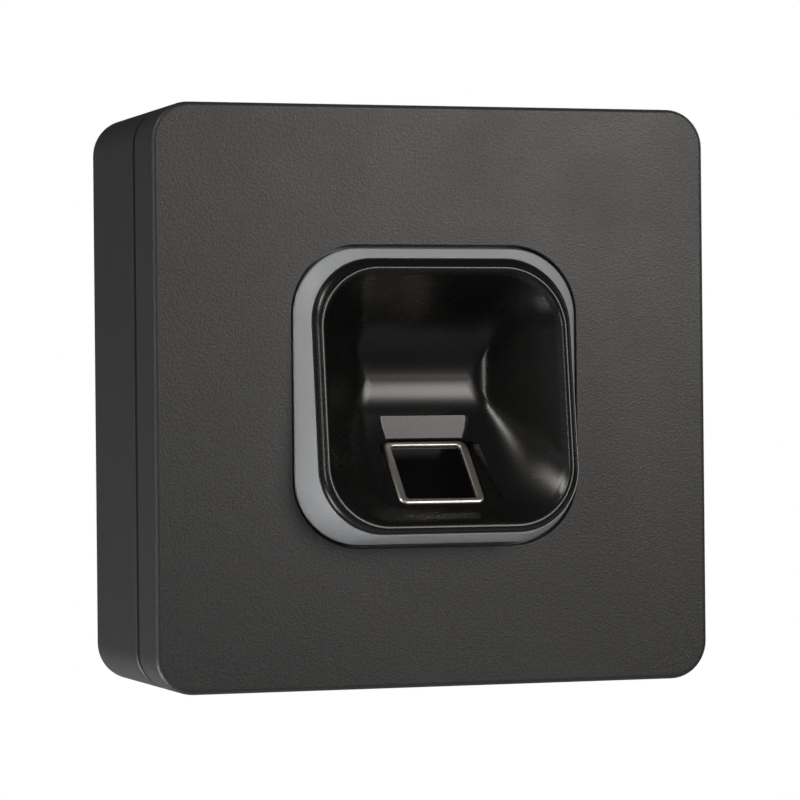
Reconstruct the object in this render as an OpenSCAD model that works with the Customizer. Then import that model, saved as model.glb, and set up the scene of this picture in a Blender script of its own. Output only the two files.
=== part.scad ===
// Surface-mounted fingerprint reader.
// Frame: origin at the centre of the back face, wall in the plane y = 0,
// +X to the reader's right seen from the front, +Z up, front face towards -Y.
// A "depth" below is a distance in front of the wall, so depth d is y = -d.

/* [Housing] */
// Width and height of the square housing
face_size = 80; // [80:1:86]
// Depth of the back box
box_depth = 23.6; // [23.6:0.1:25]
// Width of the shadow seam between the back box and the front cover
seam_gap = 0.6; // [0.5:0.1:1]
// Depth of the front cover
cover_depth = 9.5; // [9.5:0.1:11]
// Radius of the four upright corners
corner_r = 5.3; // [4.5:0.1:7]
// Radius along the front edge of the cover
edge_r = 0.7; // [0.4:0.1:1]
// Wall thickness of the back box and the cover
wall_t = 2.2; // [2.2:0.1:2.6]
// Thickness of the back plate that lies on the wall
back_t = 2.5; // [2.5:0.1:3]

/* [Light ring] */
// Width of the light ring where it leaves the cover
ring_w = 40.7; // [40.5:0.1:41.5]
// Height of the light ring where it leaves the cover
ring_h = 40.5; // [40.3:0.1:41]
// Corner radius of the light ring
ring_corner_r = 9.2; // [8.5:0.1:10]
// Shadow gap between the light ring and the cover at its sides
ring_gap = 0.3; // [0.2:0.05:0.4]
// Shadow gap above and below the light ring
ring_gap_high = 0.5; // [0.4:0.05:0.6]
// Height of the ring's inner edge in front of the cover
ring_proud = 4.12; // [3.6:0.1:4.3]

/* [Finger guide] */
// Width and height of the guide inside the light ring
guide_w = 37.2; // [37:0.1:37.4]
// Height of the guide's lip in front of the cover, at mid height
lip_proud = 5.4; // [5:0.1:6]
// Width and height of the lip
lip_w = 35.3; // [35:0.1:35.6]
// Forward lean of the rim, which brings its lower edge further out
rim_tilt = 7.2; // [5:0.1:8]
// Depth of the deepest point of the bowl behind the cover's face
bowl_sink = 7.2; // [6.5:0.1:7.3]
// Wall thickness of the bowl
guide_t = 1.5; // [1.3:0.1:1.7]

/* [Sensor] */
// Lean of the sensor surface, measured between its normal and the vertical
sensor_lean = 45; // [42:1:46]
// Centre of the sensor surface above the centre of the reader
sensor_z = -10.45; // [-10.6:0.05:-10.3]
// Centre of the sensor surface behind the cover's face
sensor_sink = 1.5; // [1.4:0.1:1.7]
// Width of the metal bezel
bezel_w = 12.5; // [12.2:0.1:12.8]
// Length of the metal bezel
bezel_h = 11.9; // [11.6:0.1:12.1]
// Width and length of the sensing window
window_w = 10.1; // [9.6:0.1:10.2]

/* [Wall fixing] */
// Distance between the two wall screw slots, as on a flush wall box
slot_spacing = 60; // [58:1:62]
// Width of a wall screw slot
slot_w = 4.4; // [4:0.1:5]
// Length of a wall screw slot
slot_len = 8; // [6:0.5:9]
// Height of the cable entry above the centre
entry_z = 15; // [14:0.5:16]
// Radius of the hole through the cable grommet
entry_r = 2.5; // [2:0.1:3]

/* [Hidden] */

fine = 64;          // facets of round parts in the preview
soft = 32;          // facets inside hulls
overlap = 1;        // how far a cut runs past the face it opens
slip = 0.05;        // clearance of a snug fit
board_t = 1.6;      // thickness of the two large circuit boards

// Housing depths
face_depth = box_depth + seam_gap + cover_depth;
cover_back = box_depth + seam_gap;
face_inside = face_depth - wall_t;
box_inside = face_size - 2 * wall_t;
inside_r = corner_r - wall_t;

// Wall gasket and cable entry
groove_inset = 1.5;
groove_w = 2;
groove_deep = 0.8;
entry_hole_r = 6;
entry_step_r = 7.5;
entry_step = 1.2;
plate_t = 0.02;     // thickness of the plates that hulls are stretched between

// Opening of the cover round the light ring
opening_w = ring_w + 2 * ring_gap;
opening_h = ring_h + 2 * ring_gap_high;
opening_r = ring_corner_r + ring_gap;

// Mounting frame
frame_back = box_depth - 4.6;
frame_t = 2;
frame_front = frame_back + frame_t;
frame_w = box_inside - 2.6;
frame_hole = 51;
frame_screw_at = face_size / 2 - 7.4;
frame_screw_r = 1.25;
frame_screw_tip = 9;
boss_r = 3.6;
drain_w = 4;
clip_x = face_size / 2 - 6.4;
clip_z = 17;
clip_slot = [2.6, 7.6];
blade = [1.4, 6];

// Module housing, which carries the sensor, the light ring and the electronics
module_w = 50;
module_r = 6;
module_wall = 1.8;
module_back = 13;
module_front = face_inside - 0.5;
module_flange_w = 61;
module_flange_t = 2;
module_screw_at = 27.8;
ring_screw_at = 20.6;
ring_screw_hole_r = 1.1;
ring_screw_sink = 1.3;
post_r = 2.9;
magnet_x = -(module_w / 2 + 3.4);

// Stack behind the light ring
stack_w = 46;
stack_r = 4.6;
guide_flange_back = face_depth - 8.2;
guide_flange_t = 1.5;
led_board_back = guide_flange_back + guide_flange_t;
led_board_t = 1.2;
led_back = led_board_back + led_board_t;
led_t = 0.8;
ring_back = led_back + led_t + 0.3;
ring_flange_front = face_inside - 0.3;
ring_flange_w = 45.6;
led_row = 19.7;

// Boards
main_back = 16.6;
main_front = main_back + board_t;
main_w = 44;
main_screw_at = [19, 12];
board_hole_r = 0.9;
controller_at = [-7, -2];
memory_at = [7, 5];
capacitor_x = [-14, -6];
capacitor_z = 14;
buzzer_at = [9, -9];
flex_plug_z = -13;
link_back = 5;
link_front = link_back + board_t;
link_size = [48, 21];
link_z = -16.5;
link_screw_at = [20.5, 7];
header_z = -20.5;
pin_pitch = 2.54;
pin_count = 6;
pin_r = 0.32;
header_w = 2.4;
socket_front = module_back - 0.4;

// Terminals
pole_pitch = 4;
pole_count = 4;
block_size = [17, 10, 5.4];
block_z = -12.6;
block_front = link_front + block_size[2];
button_size = [2.4, 3];
button_z = block_z - 2.6;
wire_r = 1;
wire_d = link_front + 2.2;
contact_z = block_z + 0.6;
service_at = [16, -14];
service_size = 4.5;
service_r = 1.2;

// Cable clamp
clamp_z = 3;
clamp_x = 8;
clamp_seat = 7.4;
clamp_t = 2;
clamp_w = 5.6;

// Bowl sections: distance in front of the face, width, lowest and highest z, corner radius
bowl_mid = [2.4, 31, -14.4, 16.2, 7];
bowl_low = [-5.7, 20.4, -2.7, 9.8, 3];
bowl_end = [-bowl_sink, 17.2, 0, 7.5, 1.6];
mouth_w = lip_w - 0.7;
mouth_r = 8.2;
lip_r = 8.6;
guide_r = 9;
facet_depth = face_depth - 5.7;
sensor_pad = [15.2, 15.4, 2.3];
sensor_seat = -1.4;

// ---------------------------------------------------------------- shape helpers

// Rounded rectangle lying in the x-z plane once it is placed
module outline(w, h, r) {
    square([w - 2 * r, h], center = true);
    square([w, h - 2 * r], center = true);
    for (sx = [-1, 1], sz = [-1, 1])
        translate([sx * (w / 2 - r), sz * (h / 2 - r)]) circle(r, $fn = fine);
}

// Extrudes a flat outline from depth d0 to depth d1
module slab(d0, d1) {
    translate([0, -d0, 0]) rotate([90, 0, 0]) linear_extrude(d1 - d0) children();
}

module rounded_slab(w, h, r, d0, d1) {
    slab(d0, d1) outline(w, h, r);
}

// Rounded rectangular tube along the depth
module ring_slab(w, h, r, inner_w, inner_h, inner_r, d0, d1) {
    slab(d0, d1) difference() {
        outline(w, h, r);
        outline(inner_w, inner_h, inner_r);
    }
}

// Round pin along the depth
module rod(x, z, r, d0, d1) {
    translate([x, -d0, z]) rotate([90, 0, 0]) cylinder(r = r, h = d1 - d0, $fn = fine);
}

// Box given by its centre in x and z, its size there, and its depths
module block(x, z, w, h, d0, d1) {
    translate([x - w / 2, -d1, z - h / 2]) cube([w, d1 - d0, h]);
}

// Slab whose front edge is rounded all round
module soft_edged_slab(w, h, r, d0, d1, er) {
    rounded_slab(w, h, r, d0, d1 - er);
    rounded_slab(w - 2 * er, h - 2 * er, r - er, d0, d1);
    for (s = [-1, 1]) {
        translate([s * (w / 2 - er), -(d1 - er), 0])
            cylinder(r = er, h = h - 2 * r, center = true, $fn = fine);
        translate([0, -(d1 - er), s * (h / 2 - er)]) rotate([0, 90, 0])
            cylinder(r = er, h = w - 2 * r, center = true, $fn = fine);
        for (t = [-1, 1])
            translate([s * (w / 2 - r), -(d1 - er), t * (h / 2 - r)]) rotate([90, 0, 0])
                rotate_extrude($fn = fine) translate([r - er, 0]) circle(er, $fn = fine);
    }
}

// Repeats its children at four corners
module corners(x, z) {
    for (sx = [-1, 1], sz = [-1, 1]) translate([sx * x, 0, sz * z]) children();
}

// Machine screw along the depth: pan head towards the front, cross recess in the head
module screw(shank_r, head_r, tip, seat, head_h) {
    difference() {
        union() {
            rod(0, 0, shank_r, tip, seat + slip);
            rod(0, 0, head_r, seat, seat + head_h);
        }
        for (turn = [0, 90]) rotate([0, turn, 0])
            block(0, 0, head_r * 1.1, head_r * 0.3, seat + head_h * 0.4, seat + head_h + overlap);
    }
}

// Thin rounded plate in the leaning plane of the rim
module leaning_plate(w, h, r, proud) {
    translate([0, -(face_depth + proud), 0]) rotate([-rim_tilt, 0, 0]) rotate([90, 0, 0])
        linear_extrude(plate_t) outline(w, h / cos(rim_tilt), r, $fn = soft);
}

// Thin rounded plate across the bowl, grown by a wall thickness
module bowl_plate(section, grow) {
    w = section[1] + 2 * grow;
    h = section[3] - section[2] + 2 * grow;
    translate([0, -(face_depth + section[0] - grow), (section[3] + section[2]) / 2])
        rotate([90, 0, 0]) linear_extrude(plate_t) outline(w, h, section[4] + grow);
}

// Local frame of the sensor: z out of its surface, y up along it
module on_sensor() {
    translate([0, -(face_depth - sensor_sink), sensor_z]) rotate([sensor_lean, 0, 0]) children();
}

module sensor_plate(w, h, r, z0, z1) {
    on_sensor() translate([0, 0, z0]) linear_extrude(z1 - z0) outline(w, h, r);
}

// ---------------------------------------------------------------- wall unit

module back_box() {
    color("#343638") difference() {
        union() {
            difference() {
                soft_edged_slab(face_size, face_size, corner_r, 0, box_depth, edge_r);
                rounded_slab(box_inside, box_inside, inside_r, back_t, box_depth + overlap);
            }
            corners(frame_screw_at, frame_screw_at) rod(0, 0, boss_r, back_t / 2, frame_back);
            for (s = [-1, 1]) {
                rod(s * clamp_x, clamp_z, 2.4, back_t / 2, clamp_seat);
                block(s * slot_spacing / 2, 0, slot_len + 5, slot_w + 6, back_t / 2, back_t + 0.8);
            }
            translate([0, 0, link_z]) corners(link_screw_at[0], link_screw_at[1])
                rod(0, 0, 2.6, back_t / 2, link_back);
        }
        corners(frame_screw_at, frame_screw_at)
            rod(0, 0, frame_screw_r + slip, frame_screw_tip - overlap, frame_back + overlap);
        for (s = [-1, 1]) {
            rod(s * clamp_x, clamp_z, 1, 3, clamp_seat + overlap);
            translate([s * slot_spacing / 2, 0, 0]) slab(-overlap, back_t + 2) wall_slot();
        }
        translate([0, 0, link_z]) corners(link_screw_at[0], link_screw_at[1])
            rod(0, 0, board_hole_r, 1.2, link_back + overlap);
        rod(0, entry_z, entry_hole_r, -overlap, back_t + overlap);
        rod(0, entry_z, entry_step_r, -overlap, entry_step);
        gasket_ring(0, -overlap, groove_deep);
        block(0, -face_size / 2, drain_w, 2 * wall_t + 2, frame_front + 0.6, box_depth - 1.4);
    }
}

module wall_slot() {
    reach = (slot_len - slot_w) / 2;
    square([2 * reach, slot_w], center = true);
    for (s = [-1, 1]) translate([s * reach, 0]) circle(slot_w / 2, $fn = fine);
}

// Ring that runs round the back plate, made thinner by a clearance
module gasket_ring(clearance, d0, d1) {
    outer = face_size - 2 * (groove_inset + clearance);
    inner = face_size - 2 * (groove_inset + groove_w - clearance);
    ring_slab(outer, outer, corner_r - groove_inset,
              inner, inner, corner_r - groove_inset - groove_w, d0, d1);
}

module wall_gasket() {
    color("#1b1b1b") gasket_ring(slip, 0, groove_deep - slip);
}

module cable_grommet() {
    color("#151515") difference() {
        union() {
            rod(0, entry_z, entry_step_r - 0.2, 0.2, entry_step - slip);
            rod(0, entry_z, entry_hole_r - slip, 0.2, back_t + slip);
            rod(0, entry_z, entry_step_r + 0.1, back_t + slip, back_t + 1.2);
            translate([0, -back_t - 1, entry_z]) rotate([90, 0, 0])
                cylinder(r1 = 5, r2 = 3.6, h = 4.2, $fn = fine);
        }
        rod(0, entry_z, entry_r, -overlap, 9);
    }
}

module cable_clamp() {
    color("#2c2e30") difference() {
        union() {
            translate([0, 0, clamp_z])
                rounded_slab(2 * clamp_x + clamp_w, clamp_w, 2.4, clamp_seat, clamp_seat + clamp_t);
            for (s = [-1, 1]) block(0, clamp_z + s * 1.6, 7, 0.9, clamp_seat - 0.6, clamp_seat + 1);
        }
        for (s = [-1, 1]) rod(s * clamp_x, clamp_z, 1.25, clamp_seat - overlap, clamp_seat + 3);
    }
}

module clamp_screws() {
    color("silver") for (s = [-1, 1])
        translate([s * clamp_x, 0, clamp_z]) screw(0.95, 2, 3.4, clamp_seat + clamp_t, 1.3);
}

module mounting_frame() {
    color("#3a3c3e") difference() {
        union() {
            rounded_slab(frame_w, frame_w, inside_r, frame_back, frame_front);
            corners(module_screw_at, module_screw_at)
                rod(0, 0, 2.8, frame_back - 3.5, frame_front);
            ring_slab(frame_w, frame_w, inside_r, frame_w - 2.4, frame_w - 2.4, inside_r - 1.2,
                      frame_back - 2, frame_back + slip);
        }
        rounded_slab(frame_hole, frame_hole, module_r + 0.5, frame_back - 4, frame_front + overlap);
        corners(frame_screw_at, frame_screw_at) {
            rod(0, 0, 1.7, frame_back - overlap, frame_front + overlap);
            rod(0, 0, boss_r + 0.2, frame_back - 3, frame_back);
        }
        corners(module_screw_at, module_screw_at)
            rod(0, 0, 1.3, frame_back - 4, frame_front + overlap);
        corners(clip_x, clip_z)
            block(0, 0, clip_slot[0], clip_slot[1], frame_back - 3, frame_front + overlap);
    }
}

module frame_screws() {
    color("silver") corners(frame_screw_at, frame_screw_at)
        screw(frame_screw_r, 2.7, frame_screw_tip, frame_front, 1.6);
}

// Sprung U clips that grip the blades of the front cover
module cover_clips() {
    leg_t = 0.4;
    foot = 1.4;
    gap = blade[0] + 0.1;
    color("#b8bcc0") corners(clip_x, clip_z) difference() {
        union() {
            block(0, 0, gap + 2 * leg_t, blade[1] + 1, frame_back - 3.2, frame_front + 2);
            block(0, 0, gap + 2 * leg_t + 2 * foot, blade[1] + 1, frame_front, frame_front + leg_t);
        }
        block(0, 0, gap, blade[1] + 3, frame_back - 3.2 + leg_t, frame_front + 3);
    }
}

module connection_board() {
    color("#1f5b3a") difference() {
        translate([0, 0, link_z]) rounded_slab(link_size[0], link_size[1], 1.5, link_back, link_front);
        translate([0, 0, link_z]) corners(link_screw_at[0], link_screw_at[1])
            rod(0, 0, 1.2, link_back - overlap, link_front + overlap);
    }
}

module connection_board_screws() {
    color("silver") translate([0, 0, link_z]) corners(link_screw_at[0], link_screw_at[1])
        screw(0.85, 1.9, 1.6, link_front, 1.2);
}

function pole_x(i) = (i - (pole_count + 1) / 2) * pole_pitch;

module terminal_block() {
    top = block_z + block_size[1] / 2;
    color("#4b4f53") difference() {
        block(0, block_z, block_size[0], block_size[1], link_front, block_front);
        for (i = [1 : pole_count]) {
            block(pole_x(i), button_z, button_size[0] + 0.3, button_size[1] + 0.3,
                  block_front - 3.8, block_front + overlap);
            translate([pole_x(i), -wire_d, top - 6])
                cylinder(r = wire_r, h = 6 + overlap, $fn = fine);
            block(pole_x(i), contact_z, 2.9, 1.4, link_front - overlap, link_front + 4.2);
        }
    }
}

// Brass clamping cages inside the terminal block
module terminal_contacts() {
    color("#b08d4a") for (i = [1 : pole_count]) difference() {
        block(pole_x(i), contact_z, 2.8, 1.3, link_front, link_front + 4.1);
        translate([pole_x(i), -wire_d, block_z - 2])
            cylinder(r = wire_r + 0.05, h = 5, $fn = fine);
    }
}

module terminal_button(i) {
    color("#c8602a") difference() {
        block(pole_x(i), button_z, button_size[0], button_size[1],
              block_front - 2.6, block_front + 0.3);
        block(pole_x(i), button_z, 1.2, 0.5, block_front - 0.1, block_front + overlap);
    }
}

module module_socket() {
    color("#17181a") difference() {
        block(0, header_z, pin_pitch * pin_count + 0.8, header_w + 0.1, link_front, socket_front);
        pin_row() rod(0, 0, pin_r + 0.08, link_front + 1, socket_front + overlap);
    }
}

module pin_row() {
    for (i = [1 : pin_count])
        translate([(i - (pin_count + 1) / 2) * pin_pitch, 0, header_z]) children();
}

module service_switch() {
    color("#a9adb0") difference() {
        block(service_at[0], service_at[1], service_size, service_size, link_front, link_front + 2.4);
        rod(service_at[0], service_at[1], service_r + 0.15, link_front + 1, link_front + 4);
    }
}

module service_button() {
    color("#101010") rod(service_at[0], service_at[1], service_r, link_front + 1.6, link_front + 3.6);
}

// ---------------------------------------------------------------- reader module

module module_housing() {
    inner = module_w - 2 * module_wall;
    color("#2a2c2e") difference() {
        union() {
            difference() {
                rounded_slab(module_w, module_w, module_r, module_back, module_front);
                rounded_slab(inner, inner, module_r - module_wall,
                             module_back + 1.6, module_front + overlap);
            }
            ring_slab(module_flange_w, module_flange_w, 4, inner + 1, inner + 1, module_r - 2,
                      frame_front, frame_front + module_flange_t);
            corners(ring_screw_at, ring_screw_at)
                rod(0, 0, post_r, module_back + 1, guide_flange_back);
            corners(main_screw_at[0], main_screw_at[1])
                rod(0, 0, 2.2, module_back + 1, main_back);
        }
        corners(ring_screw_at, ring_screw_at)
            rod(0, 0, 1, module_back + 4, guide_flange_back + overlap);
        corners(main_screw_at[0], main_screw_at[1])
            rod(0, 0, board_hole_r, module_back + 0.6, main_back + overlap);
        corners(module_screw_at, module_screw_at)
            rod(0, 0, 1.6, frame_front - overlap, frame_front + module_flange_t + overlap);
        block(0, header_z, pin_pitch * pin_count + 2.4, 4, module_back - overlap, module_back + 3);
    }
}

module module_screws() {
    color("silver") corners(module_screw_at, module_screw_at)
        screw(1.25, 2.5, frame_back - 3, frame_front + module_flange_t, 1.5);
}

module main_board() {
    color("#1f5b3a") difference() {
        rounded_slab(main_w, main_w, 2, main_back, main_front);
        corners(ring_screw_at, ring_screw_at)
            rod(0, 0, post_r + 0.4, main_back - overlap, main_front + overlap);
        corners(main_screw_at[0], main_screw_at[1])
            rod(0, 0, 1.1, main_back - overlap, main_front + overlap);
    }
}

module main_board_screws() {
    color("silver") corners(main_screw_at[0], main_screw_at[1])
        screw(0.85, 1.8, module_back + 0.8, main_front, 1.1);
}

module pin_header() {
    color("#17181a")
        block(0, header_z, pin_pitch * pin_count, header_w, module_back + 1.2, main_back);
}

module header_pins() {
    color("#c9a557") pin_row() rod(0, 0, pin_r, link_front + 1.6, module_back + 1.2);
}

module microcontroller() {
    body_w = 10;
    leg_reach = 1.4;
    color("#202224") translate([controller_at[0], 0, controller_at[1]]) {
        block(0, 0, body_w, body_w, main_front + 0.1, main_front + 1.3);
        for (turn = [0 : 90 : 270]) rotate([0, turn, 0])
            for (k = [-4 : 4])
                block(k, (body_w + 1) / 2, 0.4, leg_reach, main_front, main_front + 0.3);
    }
}

module memory_chip() {
    body = [5, 6];
    leg_pitch = 1.27;
    color("#202224") translate([memory_at[0], 0, memory_at[1]]) {
        block(0, 0, body[0], body[1], main_front + 0.1, main_front + 1.4);
        for (s = [-1, 1], k = [-1.5 : 1 : 1.5])
            block(s * (body[0] / 2 + 0.4), k * leg_pitch, 1.2, 0.4, main_front, main_front + 0.3);
    }
}

module capacitors() {
    foot_t = 0.8;
    can_h = 5;
    color("#8a8f94") for (x = capacitor_x) {
        rod(x, capacitor_z, 2.5, main_front + foot_t, main_front + foot_t + can_h);
        block(x, capacitor_z, 5.3, 5.3, main_front, main_front + foot_t);
    }
}

module buzzer() {
    h = 3;
    color("#161616") translate([buzzer_at[0], 0, buzzer_at[1]]) difference() {
        rod(0, 0, 4.6, main_front, main_front + h);
        rod(0, 0, 0.8, main_front + h - 1, main_front + h + overlap);
    }
}

module flex_connector() {
    color("#e2dccb") difference() {
        block(0, flex_plug_z, 9, 3.6, main_front, main_front + 1.5);
        block(0, flex_plug_z + 0.8, 7, 3, main_front + 0.5, main_front + 0.9);
    }
}

// Flat cable from the sensor board down to the connector on the main board
module sensor_flex() {
    t = 0.2;
    path = [[29.2, -13.6], [27.6, -15.2], [25.8, -16], [23.6, -15.8], [22.2, -14.2],
            [21.8, -12.2], [21, -10.6], [19.6, -10], [18.9, -10.6], [18.9, -12.2]];
    ends = len(path) - 1;
    function along(i) = path[min(i + 1, ends)] - path[max(i - 1, 0)];
    function side(i) = [-along(i)[1], along(i)[0]] / norm(along(i)) * t / 2;
    left = [for (i = [0 : ends]) path[i] + side(i)];
    right = [for (i = [ends : -1 : 0]) path[i] - side(i)];
    width = 6;
    color("#b5712e") translate([-width / 2, 0, 0]) rotate([0, 90, 0]) rotate([0, 0, 180])
        linear_extrude(width) polygon([for (p = concat(left, right)) [p[1], p[0]]]);
}

module sensor_board() {
    color("#1f5b3a") sensor_plate(13, 11.6, 0.6, -2.9, -2.3);
}

module sensor_window() {
    color("#0b0b0d") {
        sensor_plate(window_w - 2 * slip, window_w - 2 * slip, 0.45, -1, -0.3);
        sensor_plate(10.9, 10.4, 0.5, -2.3, -1);
    }
}

module sensor_gasket() {
    color("#1b1b1b") on_sensor() translate([0, 0, sensor_seat]) linear_extrude(0.4) difference() {
        outline(bezel_w, bezel_h, 1.2);
        outline(11, 10.6, 0.5);
    }
}

module sensor_bezel() {
    color("#c9c4ba") on_sensor() translate([0, 0, -1]) linear_extrude(1.15) difference() {
        outline(bezel_w, bezel_h, 1.2);
        outline(window_w, window_w, 0.5);
    }
}

module bowl_shell() {
    hull() {
        leaning_plate(lip_w - 1, lip_w - 1, lip_r - 0.5, lip_proud - 1.2);
        bowl_plate(bowl_mid, guide_t);
        bowl_plate(bowl_low, guide_t);
        bowl_plate(bowl_end, guide_t);
    }
}

module bowl_space() {
    hull() {
        leaning_plate(mouth_w, mouth_w, mouth_r, lip_proud + overlap);
        bowl_plate(bowl_mid, 0);
        bowl_plate(bowl_low, 0);
        bowl_plate(bowl_end, 0);
    }
}

// Wedge-shaped recess over the sensor, open towards the front
module sensor_recess() {
    intersection() {
        on_sensor() translate([-bezel_w / 2 - 0.2, -bezel_h / 2 - 0.2, -0.1]) cube([bezel_w + 0.4, 16, 12]);
        block(0, 0, 40, 60, facet_depth, face_depth + 12);
    }
}

module finger_guide() {
    color("#0d0e10") difference() {
        union() {
            difference() {
                hull() {
                    leaning_plate(lip_w, lip_w, lip_r, lip_proud);
                    leaning_plate(guide_w, guide_w, guide_r, ring_proud);
                    rounded_slab(guide_w, guide_w, guide_r, guide_flange_back, guide_flange_back + 1);
                }
                hull() {
                    leaning_plate(guide_w - 3, guide_w - 3, guide_r - 1.5, ring_proud - 2);
                    rounded_slab(guide_w - 3, guide_w - 3, guide_r - 1.5,
                                 guide_flange_back - overlap, guide_flange_back);
                }
            }
            bowl_shell();
            on_sensor() translate([-sensor_pad[0] / 2, -sensor_pad[1] / 2 - 0.2, -sensor_pad[2]])
                cube(sensor_pad);
            block(0, -3.45, sensor_pad[0], 7.5, facet_depth - guide_t, facet_depth + 1);
            ring_slab(stack_w, stack_w, stack_r, guide_w - 1.4, guide_w - 1.4, guide_r - 0.7,
                      guide_flange_back + 0.1, guide_flange_back + guide_flange_t);
        }
        bowl_space();
        sensor_recess();
        sensor_plate(bezel_w + 2 * slip, bezel_h + 2 * slip, 1.25, sensor_seat, overlap);
        sensor_plate(11.1, 10.6, 0.6, -6, 0);
        corners(ring_screw_at, ring_screw_at)
            rod(0, 0, ring_screw_hole_r, guide_flange_back - overlap, guide_flange_back + 3);
    }
}

module light_ring() {
    color("#e9edf0") difference() {
        union() {
            hull() {
                rounded_slab(ring_w, ring_h, ring_corner_r, ring_flange_front - 0.5, face_depth);
                leaning_plate(guide_w + 0.1, guide_w + 0.1, guide_r, ring_proud - 0.05);
            }
            rounded_slab(ring_flange_w, ring_flange_w, 4, ring_back, ring_flange_front);
        }
        rounded_slab(guide_w + 2 * slip, guide_w + 2 * slip, guide_r, ring_back - overlap, face_depth + 12);
        corners(ring_screw_at, ring_screw_at) {
            rod(0, 0, ring_screw_hole_r, ring_back - overlap, ring_flange_front + overlap);
            rod(0, 0, 2.05, ring_flange_front - ring_screw_sink, ring_flange_front + overlap);
        }
    }
}

module led_board() {
    color("#dfe3e2") difference() {
        rounded_slab(stack_w, stack_w, stack_r, led_board_back, led_back);
        rounded_slab(guide_w + 0.6, guide_w + 0.6, guide_r, led_board_back - overlap, led_back + overlap);
        corners(ring_screw_at, ring_screw_at)
            rod(0, 0, ring_screw_hole_r, led_board_back - overlap, led_back + overlap);
    }
}

module leds() {
    color("#f4f1c8") for (turn = [0 : 90 : 270], k = [-1, 1])
        rotate([0, turn, 0]) block(k * 6, led_row, 2, 1.4, led_back, led_back + led_t);
}

module ring_screws() {
    color("silver") corners(ring_screw_at, ring_screw_at)
        screw(0.95, 1.9, module_back + 4.6, ring_flange_front - ring_screw_sink, 1.2);
}

module tamper_sensor() {
    color("#202224") block(-21, 0, 1.6, 3, led_back, led_back + 0.8);
}

module ring_seal() {
    color("#1b1b1b") ring_slab(ring_flange_w, ring_flange_w, 4, opening_w + 0.2, opening_h + 0.2,
                               opening_r + 0.1, ring_flange_front, face_inside - slip);
}

// ---------------------------------------------------------------- front cover

module front_cover() {
    skirt = box_inside - 0.6;
    color("#3b3d3f") difference() {
        union() {
            difference() {
                soft_edged_slab(face_size, face_size, corner_r, cover_back, face_depth, edge_r);
                rounded_slab(frame_w, frame_w, inside_r, cover_back - overlap, face_inside);
            }
            ring_slab(skirt, skirt, inside_r, skirt - 2, skirt - 2, inside_r - 1,
                      frame_front + 1.2, cover_back + slip);
            corners(clip_x, clip_z)
                block(0, 0, blade[0], blade[1], frame_front - 3.6, face_inside + slip);
            rod(magnet_x, 0, 2.5, face_inside - 5, face_inside + slip);
        }
        rounded_slab(opening_w, opening_h, opening_r, face_inside - overlap, face_depth + overlap);
        rod(magnet_x, 0, 1.6, face_inside - 5 - overlap, face_inside - 0.6);
    }
}

module cover_seal() {
    color("#151515") ring_slab(box_inside + 2, box_inside + 2, inside_r + 1, box_inside - 0.5,
                               box_inside - 0.5, inside_r, box_depth + 0.1, cover_back);
}

module tamper_magnet() {
    color("#b8bcc0") rod(magnet_x, 0, 1.5, face_inside - 4.2, face_inside - 0.8);
}

back_box();
wall_gasket();
cable_grommet();
cable_clamp();
clamp_screws();
mounting_frame();
frame_screws();
cover_clips();
connection_board();
connection_board_screws();
terminal_block();
terminal_contacts();
terminal_button(1);  // terminal_button_1
terminal_button(2);  // terminal_button_2
terminal_button(3);  // terminal_button_3
terminal_button(4);  // terminal_button_4
module_socket();
service_switch();
service_button();
module_housing();
module_screws();
main_board();
main_board_screws();
pin_header();
header_pins();
microcontroller();
memory_chip();
capacitors();
buzzer();
flex_connector();
sensor_flex();
sensor_board();
sensor_window();
sensor_gasket();
sensor_bezel();
finger_guide();
light_ring();
led_board();
leds();
ring_screws();
tamper_sensor();
ring_seal();
front_cover();
cover_seal();
tamper_magnet();
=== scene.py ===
"""Surface-mounted fingerprint reader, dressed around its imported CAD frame.

Metres, +Z up, wall in the plane y = 0, front face towards -Y. Shapes below are written in
millimetres and as depths in front of the wall, and turned into metres where a mesh is made.
"""

import math

import bmesh
import bpy
from mathutils import Matrix, Vector


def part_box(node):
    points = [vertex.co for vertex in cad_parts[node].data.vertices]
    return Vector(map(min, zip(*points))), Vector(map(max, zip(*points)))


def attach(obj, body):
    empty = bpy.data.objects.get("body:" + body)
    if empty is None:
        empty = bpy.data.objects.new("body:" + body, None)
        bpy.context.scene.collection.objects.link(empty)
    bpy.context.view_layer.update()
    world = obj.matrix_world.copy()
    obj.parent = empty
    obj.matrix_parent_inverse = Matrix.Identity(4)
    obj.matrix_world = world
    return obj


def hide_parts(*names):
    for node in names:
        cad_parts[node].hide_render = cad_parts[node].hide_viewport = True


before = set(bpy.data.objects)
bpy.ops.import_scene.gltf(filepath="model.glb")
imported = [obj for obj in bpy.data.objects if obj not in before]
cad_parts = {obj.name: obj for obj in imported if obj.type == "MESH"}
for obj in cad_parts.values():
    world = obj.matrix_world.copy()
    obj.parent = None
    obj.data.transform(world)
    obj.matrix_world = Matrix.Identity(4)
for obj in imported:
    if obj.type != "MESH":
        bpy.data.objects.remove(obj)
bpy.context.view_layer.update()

MM = 0.001

# ------------------------------------------------------------------ sizes from the frame, in millimetres

cover_low, cover_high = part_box("front_cover")
FLANGE_BACK = -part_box("light_ring")[1].y / MM
GUIDE_BACK = -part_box("finger_guide")[1].y / MM
FACE_SIZE = (cover_high.x - cover_low.x) / MM
FACE_DEPTH = -cover_low.y / MM
BOX_DEPTH = -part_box("back_box")[0].y / MM

# ------------------------------------------------------------------ sizes in millimetres

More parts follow.
